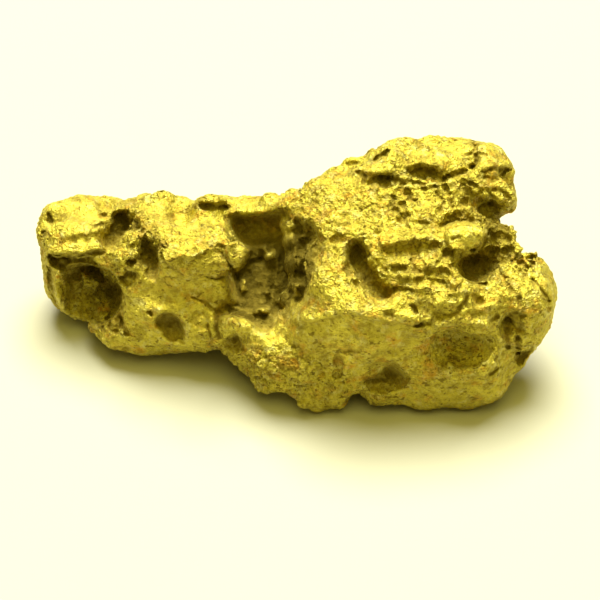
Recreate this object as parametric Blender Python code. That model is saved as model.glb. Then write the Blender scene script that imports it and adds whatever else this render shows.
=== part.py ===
"""A water-worn gold nugget: one natural piece of metal, 22 mm long.

A low, light end and a tall, heavy end are joined by a neck, and the light end lies
further back. Both are boxy masses with a worn, fairly flat top and a steep front,
built of lumps that are fused into one skin. The hollows are sunk into that skin,
each along the sight line on which it is open: a scoop and pores in the light end, a
valley in the neck, and a bean pit, a tunnel, a dimple and cracks in the heavy end.
The underside is worn flat where the piece rests.

The axes: +X is the heavy end, +Y the back, +Z up. The origin is at the bottom
centre of the bounding box.
"""

import math

import bmesh
import bpy
from mathutils import Euler, Matrix, Vector, noise
from mathutils.bvhtree import BVHTree

# Lengths are in millimetres until the finished mesh is turned to metres.
LENGTH = 22.0
FLOOR_WEAR = 0.3
FUSE_GRAIN = 0.22
CARVE_GRAIN = 0.17
MOST_TRIANGLES = 9400
MM = 0.001

# Each lump: its centre, its half-sizes, its turn about X, Y and Z in degrees,
# and its squareness, where 2 is an ellipsoid and 4 a rounded box.
LUMPS = {
    # The light end.
    "end_core": ((-8.6, 3.1, 2.95), (2.2, 1.9, 2.45), (0, 0, 0), 2.8),
    "end_shoulder": ((-9.55, 3.5, 4.2), (1.45, 1.4, 1.2), (0, 0, 0), 2.4),
    "end_crown": ((-8.5, 3.7, 4.25), (1.7, 1.5, 1.3), (0, 0, 0), 2.5),
    "waist_core": ((-5.2, 2.2, 3.1), (2.7, 2.2, 2.7), (0, 0, 0), 4),
    "waist_crown": ((-5.7, 3.0, 4.65), (1.8, 1.5, 1.4), (0, 0, 0), 2.5),
    "waist_brow": ((-4.4, 1.3, 5.2), (1.9, 1.5, 1.0), (0, 0, 0), 3.5),
    "waist_front": ((-5.6, 0.6, 2.2), (2.0, 1.3, 1.8), (0, 0, 0), 3),
    "waist_chin": ((-7.0, 0.75, 1.65), (1.6, 1.2, 1.3), (0, 12, 0), 2.5),
    "waist_cheek": ((-4.2, 0.3, 2.5), (1.2, 1.3, 1.5), (0, 0, 0), 2.5),
    "waist_bead": ((-3.6, 3.05, 6.05), (0.9, 0.6, 0.5), (0, 0, 0), 2.2),
    "knob": ((-2.6, -0.1, 5.9), (0.5, 0.6, 0.6), (0, 0, 0), 2.2),
    # The neck.
    "neck_core": ((-1.8, 1.8, 3.0), (2.6, 2.0, 2.6), (0, 0, 0), 3),
    "neck_rim": ((-1.2, 3.05, 5.3), (2.5, 1.15, 1.05), (0, -3, 0), 2.6),
    "neck_back": ((-1.6, 3.5, 4.0), (2.2, 1.2, 2.3), (0, 0, 0), 2.6),
    "neck_front": ((-1.5, -0.6, 2.4), (1.6, 1.5, 1.7), (0, 0, 0), 2.5),
    "neck_step": ((-0.6, -1.85, 2.0), (1.3, 1.3, 1.6), (0, 0, 0), 2.5),
    # The heavy end.
    "mass_core": ((4.9, -0.3, 3.4), (4.2, 3.0, 3.2), (0, 6, 4), 4),
    "mass_cheek": ((1.2, -1.3, 2.7), (1.7, 1.8, 2.5), (0, 0, 0), 2.5),
    "mass_slope": ((4.3, 0.1, 5.85), (3.9, 2.9, 1.7), (20, 3, 0), 4),
    "mass_belly": ((6.2, -2.1, 2.0), (2.7, 1.5, 2.0), (0, 0, 0), 3.2),
    "mass_corner": ((7.9, -1.8, 1.6), (1.15, 1.2, 1.6), (0, 0, 0), 2.5),
    "mass_jaw": ((4.0, -2.3, 1.9), (2.0, 1.2, 1.7), (0, 0, 0), 3),
    "mass_foot": ((1.3, -2.6, 1.2), (1.1, 1.0, 1.2), (0, 0, 0), 2.5),
    "mass_shin": ((0.2, -2.4, 1.9), (1.2, 1.1, 1.4), (0, 0, 0), 2.5),
    "mass_nose": ((8.8, -0.5, 3.9), (2.1, 1.9, 1.9), (0, 0, 0), 2.7),
    "mass_nostril": ((9.1, 0.4, 5.5), (0.9, 0.9, 0.8), (0, 0, 0), 2.2),
    "mass_spur": ((8.75, 1.0, 6.6), (0.5, 0.5, 0.6), (0, 0, 0), 2.2),
    "nose_chin": ((8.7, -1.2, 2.3), (1.1, 1.1, 1.2), (0, 0, 0), 2.2),
    "mass_ramp": ((0.6, 1.9, 6.5), (1.5, 1.3, 1.0), (15, -25, 0), 2.6),
    "mass_heel": ((3.6, 1.8, 2.5), (4.2, 2.4, 2.4), (0, 0, 0), 3),
    "mass_spread": ((0.2, 1.6, 1.8), (1.6, 1.3, 1.9), (0, 0, 0), 2.6),
    # The lobe that rises over the heavy end.
    "lobe_core": ((5.3, 3.4, 7.1), (3.0, 1.8, 1.7), (0, 0, 0), 3),
    "lobe_shoulder": ((2.8, 2.7, 7.1), (2.4, 1.4, 1.3), (0, -34, 0), 3),
    "lobe_tip": ((7.8, 3.2, 7.0), (1.4, 1.6, 1.6), (0, 0, 0), 2.8),
    "lobe_root": ((6.9, 1.6, 4.8), (1.9, 2.0, 1.6), (0, 0, 0), 2.5),
    "lobe_tongue": ((6.9, 0.5, 6.85), (1.2, 0.7, 0.55), (10, 0, 0), 2.4),
    # Knots on the back.
    "back_knot": ((-6.8, 4.1, 2.9), (1.5, 1.0, 1.3), (0, 0, 0), 2.4),
    "back_fold": ((-0.6, 3.0, 3.9), (1.6, 0.9, 1.6), (0, 0, 20), 2.4),
}

# A sight line comes from an eye this far out, at an azimuth and an elevation in
# degrees; azimuth 0 looks along +Y. It is named by the point, across and up,
# where it meets the plane that faces the eye at the sight centre.
SIGHT_CENTRE = Vector((0.0, 0.0, 5.3))
SIGHT_DISTANCE = 250.0
FRONT = (0.0, 45.0)
BACK = (180.0, 35.0)
RIGHT = (90.0, 15.0)
LEFT = (-90.0, 15.0)
BELOW = (0.0, -70.0)
HOLLOW_SQUARENESS = 2.6

# Each hollow: its sight, where on it, its half-sizes across, up and deep, and its
# turn in the sighting plane in degrees.
HOLLOWS = {
    "end_scoop": (FRONT, (-8.65, -0.9), (1.4, 1.25, 1.8), -8),
    "end_scoop_deep": (FRONT, (-7.9, -0.8), (0.5, 0.9, 1.5), 10),
    "end_scoop_left": (FRONT, (-9.4, -0.1), (0.4, 0.5, 1.3), 0),
    "end_scoop_side": (FRONT, (-10.3, -0.2), (0.22, 0.8, 0.7), 8),
    "end_pore_upper": (FRONT, (-7.4, 2.0), (0.7, 0.42, 0.9), 0),
    "end_pore_left": (FRONT, (-7.85, 1.25), (0.38, 0.6, 0.9), 0),
    "end_pore_lower": (FRONT, (-6.2, 0.5), (0.42, 0.9, 1.2), 18),
    "end_pore_small": (FRONT, (-7.2, -0.35), (0.35, 0.3, 0.6), 0),
    "waist_pit": (FRONT, (-5.3, -2.4), (0.42, 0.55, 0.6), 15),
    "waist_pit_small": (FRONT, (-3.9, -2.0), (0.42, 0.4, 0.45), 0),
    "bead_slit": (FRONT, (-3.6, 2.65), (0.6, 0.16, 0.7), 0),
    "neck_valley": (FRONT, (-1.2, 0.4), (1.6, 2.2, 0.9), -12),
    "neck_cave": (FRONT, (-1.6, 1.75), (1.35, 0.75, 1.4), -4),
    "neck_cave_right": (FRONT, (-0.4, 1.4), (0.8, 0.6, 1.4), -30),
    "neck_slope": (FRONT, (-0.2, -0.3), (0.9, 1.9, 0.8), -14),
    "neck_gully": (FRONT, (-2.3, -0.4), (0.6, 1.3, 1.3), 8),
    "neck_drain": (FRONT, (-1.5, -2.0), (0.8, 0.45, 0.7), -20),
    "neck_nook": (FRONT, (-2.8, -2.9), (0.65, 0.6, 0.6), 0),
    "bean_upper": (FRONT, (2.6, 0.7), (0.4, 0.7, 1.2), 10),
    "bean_middle": (FRONT, (3.0, -0.1), (0.5, 0.55, 1.2), 20),
    "bean_lower": (FRONT, (3.7, -0.8), (0.6, 0.4, 1.0), -10),
    "tunnel": (FRONT, (7.7, 0.2), (0.95, 0.65, 2.4), 0),
    "tunnel_roof": (FRONT, (8.2, 1.2), (0.45, 0.45, 0.9), 0),
    "lip_gap": (FRONT, (8.9, 2.3), (0.55, 0.36, 4.5), 0),
    "dimple": (FRONT, (6.8, -3.35), (1.45, 0.95, 0.75), 0),
    "dimple_deep": (FRONT, (6.8, -2.95), (1.1, 0.5, 1.0), 0),
    "crease": (FRONT, (6.0, -1.75), (1.0, 0.26, 0.7), -12),
    "jaw_hole": (FRONT, (3.6, -4.4), (0.9, 0.42, 1.1), 8),
    "jaw_hole_peak": (FRONT, (4.0, -4.1), (0.3, 0.36, 0.8), 0),
    "jaw_groove": (FRONT, (1.8, -3.9), (0.22, 0.48, 0.4), 10),
    "foot_notch": (FRONT, (2.65, -5.3), (0.45, 0.25, 1.0), 0),
    "nose_crevice": (FRONT, (8.95, -2.2), (0.3, 0.6, 0.9), 10),
    "nose_corner": (FRONT, (9.35, -3.2), (0.22, 0.2, 0.8), 30),
    "lobe_slot_left": (FRONT, (3.8, 3.9), (0.6, 0.24, 0.8), -10),
    "lobe_slot_middle": (FRONT, (5.3, 4.1), (0.7, 0.2, 0.8), 0),
    "lobe_slot_right": (FRONT, (6.9, 4.25), (0.65, 0.16, 0.6), 10),
    "lobe_cleft": (FRONT, (7.45, 4.8), (0.17, 0.6, 0.6), 10),
    "lobe_tip_pit": (FRONT, (8.4, 4.1), (0.42, 0.2, 0.5), 15),
    "lobe_under": (FRONT, (7.4, 3.1), (0.6, 0.28, 0.7), -30),
    "lobe_cave": (FRONT, (8.0, 2.7), (0.6, 0.38, 0.9), 0),
    "tongue_slot": (FRONT, (6.6, 2.3), (0.6, 0.2, 0.6), 15),
    "back_pocket": (BACK, (-4.5, -0.5), (1.3, 0.8, 1.0), 20),
    "back_fold": (BACK, (0.8, -2.1), (0.4, 1.5, 0.9), -15),
    "back_pit": (BACK, (5.0, -1.1), (0.6, 0.5, 0.7), 0),
    "back_pit_small": (BACK, (8.2, -2.4), (0.45, 0.6, 0.7), 30),
    "back_slot": (BACK, (-6.5, 0.6), (0.9, 0.25, 0.7), -15),
    "under_pocket": (BELOW, (-2.5, -2.7), (1.2, 0.9, 0.8), 15),
    "under_pit": (BELOW, (-6.5, -3.4), (0.7, 0.5, 0.7), 0),
    "under_groove": (BELOW, (4.0, -1.5), (1.6, 0.35, 0.7), 25),
    "under_dent": (BELOW, (7.8, -2.2), (0.8, 0.8, 0.6), 0),
    "right_pit": (RIGHT, (0.8, -2.0), (0.6, 0.45, 0.6), 20),
    "right_cleft": (RIGHT, (2.9, 0.4), (0.35, 0.8, 0.7), -20),
    "left_pit": (LEFT, (-3.4, -3.0), (0.45, 0.6, 0.6), 15),
}


def ellipsoid(bm, place, squareness):
    """Adds a unit ellipsoid, squared off towards a box, and moves it to its place."""
    made = bmesh.ops.create_icosphere(bm, subdivisions=4, radius=1.0)
    for vert in made["verts"]:
        size = sum(abs(value) ** squareness for value in vert.co) ** (1 / squareness)
        vert.co = place @ (vert.co / size)


def object_of(name, bm):
    """Turns the bmesh into a linked mesh object."""
    mesh = bpy.data.meshes.new(name)
    bm.to_mesh(mesh)
    bm.free()
    made = bpy.data.objects.new(name, mesh)
    bpy.context.scene.collection.objects.link(made)
    return made


def add_remesh(made, grain):
    """Rebuilds the surface as one skin of even, small faces."""
    skin = made.modifiers.new("skin", "REMESH")
    skin.mode = "VOXEL"
    skin.voxel_size = grain


def add_smooth(made, rounds, factor=0.5):
    """Wears the edges down."""
    worn = made.modifiers.new("worn", "SMOOTH")
    worn.iterations = rounds
    worn.factor = factor


def baked(made):
    """Replaces the object's mesh by the one its modifiers make."""
    graph = bpy.context.evaluated_depsgraph_get()
    mesh = bpy.data.meshes.new_from_object(made.evaluated_get(graph))
    made.modifiers.clear()
    made.data = mesh
    return made


def swell(point, wave, tall):
    """A soft rise and fall of this length and height."""
    return tall * noise.noise(point / wave)


def knots(point, wave, tall):
    """Round knots with creases between them."""
    return tall * (2.0 * abs(noise.noise(point / wave)) - 0.4)


# The wear on the outside and inside the hollows: the form, its length and its height.
OUTER_WEAR = ((swell, 3.1, 0.25), (knots, 1.7, 0.29), (knots, 0.9, 0.12))
HOLLOW_WEAR = ((swell, 0.9, 0.3),)


def roughened(made, layers):
    """Pushes the skin in and out along its normals by layers of (form, length, height)."""
    normals = [vert.normal.copy() for vert in made.data.vertices]
    for vert, normal in zip(made.data.vertices, normals):
        vert.co += normal * sum(form(vert.co, wave, tall) for form, wave, tall in layers)
    return made


def fused_lumps():
    """All the lumps under one skin."""
    bm = bmesh.new()
    for centre, half, turn, squareness in LUMPS.values():
        angles = Euler(tuple(math.radians(angle) for angle in turn))
        place = Matrix.LocRotScale(Vector(centre), angles, Vector(half))
        ellipsoid(bm, place, squareness)
    made = object_of("nugget", bm)
    add_remesh(made, FUSE_GRAIN)
    add_smooth(made, 3)
    return roughened(baked(made), OUTER_WEAR)


def sight_frame(sight):
    """The across, up and towards-the-eye directions of a sight."""
    azimuth, elevation = (math.radians(angle) for angle in sight)
    across = Vector((math.cos(azimuth), math.sin(azimuth), 0.0))
    to_eye = Vector(
        (
            math.sin(azimuth) * math.cos(elevation),
            -math.cos(azimuth) * math.cos(elevation),
            math.sin(elevation),
        )
    )
    return across, to_eye.cross(across), to_eye


def hollows_for(nugget):
    """One object of all the hollows, each centred where its sight line meets the skin."""
    graph = bpy.context.evaluated_depsgraph_get()
    skin = BVHTree.FromObject(nugget, graph)
    bm = bmesh.new()
    for sight, aim, half, turn in HOLLOWS.values():
        across, up, to_eye = sight_frame(sight)
        eye = SIGHT_CENTRE + to_eye * SIGHT_DISTANCE
        target = SIGHT_CENTRE + across * aim[0] + up * aim[1]
        hit = skin.ray_cast(eye, (target - eye).normalized())[0]
        axes = Matrix((across, up, to_eye)).transposed().to_4x4()
        spin = Matrix.Rotation(math.radians(turn), 4, "Z")
        place = Matrix.Translation(hit) @ axes @ spin @ Matrix.Diagonal((*half, 1.0))
        ellipsoid(bm, place, HOLLOW_SQUARENESS)
    made = object_of("hollows", bm)
    made.hide_render = True
    made.display_type = "WIRE"
    add_remesh(made, CARVE_GRAIN)
    add_smooth(made, 1)
    return roughened(baked(made), HOLLOW_WEAR)


def carve(nugget, hollows):
    """Takes the hollows out of the nugget. The manifold solver is used because the
    exact one loses the body where a roughened hollow folds over itself."""
    cut = nugget.modifiers.new("carve", "BOOLEAN")
    cut.operation = "DIFFERENCE"
    cut.solver = "MANIFOLD"
    cut.object = hollows
    add_remesh(nugget, CARVE_GRAIN)
    add_smooth(nugget, 2)
    baked(nugget)


def corners(made):
    """The two opposite corners of the mesh's box."""
    points = [vert.co for vert in made.data.vertices]
    low = Vector(min(point[axis] for point in points) for axis in range(3))
    high = Vector(max(point[axis] for point in points) for axis in range(3))
    return low, high


def sized(nugget):
    """Brings the box to the length, with its bottom centre at the origin."""
    low, high = corners(nugget)
    bottom = Vector(((low.x + high.x) / 2, (low.y + high.y) / 2, low.z))
    scale = LENGTH / (high.x - low.x)
    nugget.data.transform(Matrix.Scale(scale, 4) @ Matrix.Translation(-bottom))


def thinned(nugget):
    """Draws the skin with fewer, larger triangles."""
    fewer = nugget.modifiers.new("fewer", "DECIMATE")
    fewer.ratio = MOST_TRIANGLES / (2 * len(nugget.data.polygons))
    fewer.use_collapse_triangulate = True
    baked(nugget)


def wear_flat(nugget):
    """Cuts the underside level where the piece rests, and brings it down to z = 0."""
    bm = bmesh.new()
    bm.from_mesh(nugget.data)
    found = bmesh.ops.bisect_plane(
        bm,
        geom=[*bm.verts, *bm.edges, *bm.faces],
        plane_co=(0.0, 0.0, FLOOR_WEAR),
        plane_no=(0.0, 0.0, 1.0),
        clear_inner=True,
    )
    rims = [part for part in found["geom_cut"] if isinstance(part, bmesh.types.BMEdge)]
    bmesh.ops.holes_fill(bm, edges=rims)
    bmesh.ops.triangulate(bm, faces=[face for face in bm.faces if len(face.verts) > 3])
    bmesh.ops.translate(bm, verts=bm.verts, vec=(0.0, 0.0, -FLOOR_WEAR))
    bm.to_mesh(nugget.data)
    bm.free()


def gold():
    """Native gold: a yellow metal with a soft, worn shine."""
    made = bpy.data.materials.new("gold")
    made.use_nodes = True
    surface = made.node_tree.nodes["Principled BSDF"].inputs
    surface["Base Color"].default_value = (0.72, 0.5, 0.13, 1.0)
    surface["Metallic"].default_value = 1.0
    surface["Roughness"].default_value = 0.42
    return made


def main():
    for old in list(bpy.data.objects):
        bpy.data.objects.remove(old)
    nugget = fused_lumps()
    hollows = hollows_for(nugget)
    carve(nugget, hollows)
    bpy.data.objects.remove(hollows)
    thinned(nugget)
    sized(nugget)
    wear_flat(nugget)
    nugget.data.transform(Matrix.Scale(MM, 4))
    nugget.data.materials.append(gold())
    nugget.data.shade_smooth()


main()
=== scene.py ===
"""A water-worn gold nugget, 22 mm long, lying on a pale floor.

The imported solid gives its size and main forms. One finer piece takes that solid's
place: the same body with its small knots, pits, cracks and grain.
"""

import math

import bmesh
import bpy
import numpy as np
from mathutils import Matrix, Vector, noise
from mathutils.bvhtree import BVHTree


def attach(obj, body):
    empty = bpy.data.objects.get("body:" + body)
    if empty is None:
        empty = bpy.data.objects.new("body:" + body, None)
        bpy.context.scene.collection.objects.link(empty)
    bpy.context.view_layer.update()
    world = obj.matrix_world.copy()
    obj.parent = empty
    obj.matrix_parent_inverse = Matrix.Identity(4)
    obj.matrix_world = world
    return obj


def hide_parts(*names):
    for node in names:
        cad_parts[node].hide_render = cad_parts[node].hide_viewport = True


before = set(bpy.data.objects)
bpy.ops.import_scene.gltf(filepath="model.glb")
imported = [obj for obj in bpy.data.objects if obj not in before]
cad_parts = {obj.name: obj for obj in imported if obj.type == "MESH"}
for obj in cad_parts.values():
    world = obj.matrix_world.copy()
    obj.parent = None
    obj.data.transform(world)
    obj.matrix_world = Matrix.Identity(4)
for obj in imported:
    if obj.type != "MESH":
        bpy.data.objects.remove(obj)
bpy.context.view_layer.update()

# ---------------------------------------------------------------- The nugget
# One piece of native gold, 22 mm long. A river has rounded and hammered it: the high
# places are worn smooth, and the hollows keep their grain, cracks and grime.

# Lengths are in mm here, and the finished mesh is brought down to metres. The small forms
# are placed along sight lines, as a carver turns the piece: each view is 600 steps of
# 0.042 mm across and down, and a place is counted in steps from its top left corner. The
# front is looked at from 45 degrees above, along +Y.
MM = 0.001
STEP = 0.042
HALF_VIEW = 300
EYE_DISTANCE = 250.0
MIDDLE = Vector((0.139, -1.35, 3.95))
FRONT = (0.0, 45.0)
BACK = (180.0, 35.0)
LEFT = (-90.0, 20.0)
RIGHT = (90.0, 20.0)
SIGHTS = (FRONT, BACK, LEFT, RIGHT)


def sight_axes(sight):
    """The across, up and towards-the-eye directions of an eye at (azimuth, elevation)."""
    azimuth, elevation = (math.radians(angle) for angle in sight)
    across = Vector((math.cos(azimuth), math.sin(azimuth), 0.0))
    to_eye = Vector(
        (
            math.sin(azimuth) * math.cos(elevation),
            -math.cos(azimuth) * math.cos(elevation),
            math.sin(elevation),
        )
    )
    return across, to_eye.cross(across), to_eye


def seen_on(skin, sight, aim):
    """The point of the skin that the eye sees at this place in its view."""
    across, up, to_eye = sight_axes(sight)
    eye = MIDDLE + to_eye * EYE_DISTANCE
    target = MIDDLE + across * (aim[0] - HALF_VIEW) * STEP + up * (HALF_VIEW - aim[1]) * STEP
    return skin.ray_cast(eye, (target - eye).normalized())[0]


def place_seen(point, sight):
    """Where the eye sees this point: steps across and down its view, from the top left."""
    across, up, to_eye = sight_axes(sight)
    away = point - MIDDLE
    scale = EYE_DISTANCE / (EYE_DISTANCE - away.dot(to_eye)) / STEP
    return HALF_VIEW + away.dot(across) * scale, HALF_VIEW - away.dot(up) * scale


# How wide the small faces of each skin are: for the body, for the knots, and for the rest.
FIRST_GRAIN = 0.14
KNOT_GRAIN = 0.08
LAST_GRAIN = 0.072

# Points of the solid within a thousandth of a millimetre, here in metres, are one point.
SAME_POINT = 1e-6

# The finished mesh is thinned to this.
MOST_TRIANGLES = 196000


def piece_of(name, bm):
    """Turns the bmesh into an object of the scene."""
    mesh = bpy.data.meshes.new(name)
    bm.to_mesh(mesh)
    bm.free()
    made = bpy.data.objects.new(name, mesh)
    bpy.context.scene.collection.objects.link(made)
    return made


def add_skin(made, grain, rounds):
    """Rebuilds the surface as one skin of small even faces, and smooths it."""
    skin = made.modifiers.new("skin", "REMESH")
    skin.mode = "VOXEL"
    skin.voxel_size = grain
    worn = made.modifiers.new("worn", "SMOOTH")
    worn.iterations = rounds


def baked(made):
    """Replaces the object's mesh by the one its modifiers make."""
    graph = bpy.context.evaluated_depsgraph_get()
    mesh = bpy.data.meshes.new_from_object(made.evaluated_get(graph))
    made.modifiers.clear()
    made.data = mesh
    return made


solid = bmesh.new()
solid.from_mesh(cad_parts["nugget"].data)
bmesh.ops.remove_doubles(solid, verts=solid.verts, dist=SAME_POINT)
bmesh.ops.scale(solid, verts=solid.verts, vec=Vector((1, 1, 1)) / MM)
body = piece_of("nugget_body", solid)
rounder = body.modifiers.new("rounder", "SUBSURF")
rounder.levels = rounder.render_levels = 1
add_skin(body, FIRST_GRAIN, 3)
baked(body)

# Where the outline is drawn out or pressed in: the place in the front view, how far the
# push reaches, and the push across and down, all in steps.
PUSHES = (
    ((350, 150), 8, (0, 15)),
    ((362, 152), 8, (0, 5)),
    ((255, 192), 12, (0, 6)),
    ((284, 194), 8, (0, -4)),
    ((312, 187), 13, (0, -8)),
    ((384, 151), 12, (0, -6)),
    ((410, 142), 12, (0, -4)),
    ((444, 134), 10, (0, 4)),
    ((480, 146), 14, (2, -4)),
    ((500, 152), 8, (1, -3)),
    ((216, 198), 12, (0, -4)),
    ((42, 226), 12, (-4, -4)),
    ((50, 209), 9, (-3, -4)),
    ((540, 252), 10, (5, -4)),
    ((522, 238), 8, (-4, 5)),
    ((62, 312), 12, (1, 2)),
    ((86, 320), 11, (-4, 4)),
    ((114, 343), 10, (-4, 5)),
    ((512, 378), 10, (1, 2)),
    ((530, 344), 10, (4, 6)),
    ((420, 404), 20, (0, 4)),
    ((272, 390), 9, (-3, 1)),
    ((236, 195), 7, (0, 4)),
    ((147, 197), 7, (0, -4)),
    ((511, 208), 6, (3, 4)),
)
across, up, to_eye = sight_axes(FRONT)
for vert in body.data.vertices:
    seen = Vector(place_seen(vert.co, FRONT))
    shift = Vector((0.0, 0.0))
    for place, reach, push in PUSHES:
        near = (seen - Vector(place)).length / reach
        shift += Vector(push) * math.exp(-near * near / 2)
    vert.co += (across * shift.x - up * shift.y) * STEP
    vert.co.z = max(vert.co.z, 0.0)

# Knots that stand out of the skin: the sight, the place, the half-sizes across and up in
# steps and deep in mm, and the turn in degrees.
KNOTS = (
    (FRONT, (236, 254), (12, 14), 0.4, 0),
    (FRONT, (214, 200), (14, 5), 0.35, -4),
    (FRONT, (511, 198), (5, 8), 0.3, 0),
    (FRONT, (306, 403), (10, 6), 0.25, 10),
    (FRONT, (292, 224), (13, 12), 1.5, 0),
    (FRONT, (297, 241), (15, 15), 1.9, 0),
    (FRONT, (301, 262), (17, 20), 2.6, 0),
    (FRONT, (302, 284), (15, 15), 2.5, 0),
    (FRONT, (291, 300), (12, 12), 1.8, 0),
    (FRONT, (463, 236), (22, 12), 0.3, 8),
    (BACK, (240, 285), (19, 8), 0.4, 20),
    (BACK, (330, 300), (12, 10), 0.4, -10),
    (BACK, (440, 320), (14, 8), 0.4, 15),
    (BACK, (150, 320), (11, 14), 0.4, 0),
)

lumpy = bmesh.new()
lumpy.from_mesh(body.data)
skin = BVHTree.FromObject(body, bpy.context.evaluated_depsgraph_get())
for sight, aim, half, deep, turn in KNOTS:
    hit = seen_on(skin, sight, aim)
    spin = Matrix.Rotation(math.radians(turn), 4, "Z")
    size = Matrix.Diagonal((half[0] * STEP, half[1] * STEP, deep, 1.0))
    turned = Matrix(sight_axes(sight)).transposed().to_4x4()
    place = Matrix.Translation(hit) @ turned @ spin @ size
    bmesh.ops.create_icosphere(lumpy, subdivisions=3, radius=1.0, matrix=place)
lumpy.to_mesh(body.data)
lumpy.free()
add_skin(body, KNOT_GRAIN, 2)
baked(body)

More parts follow.
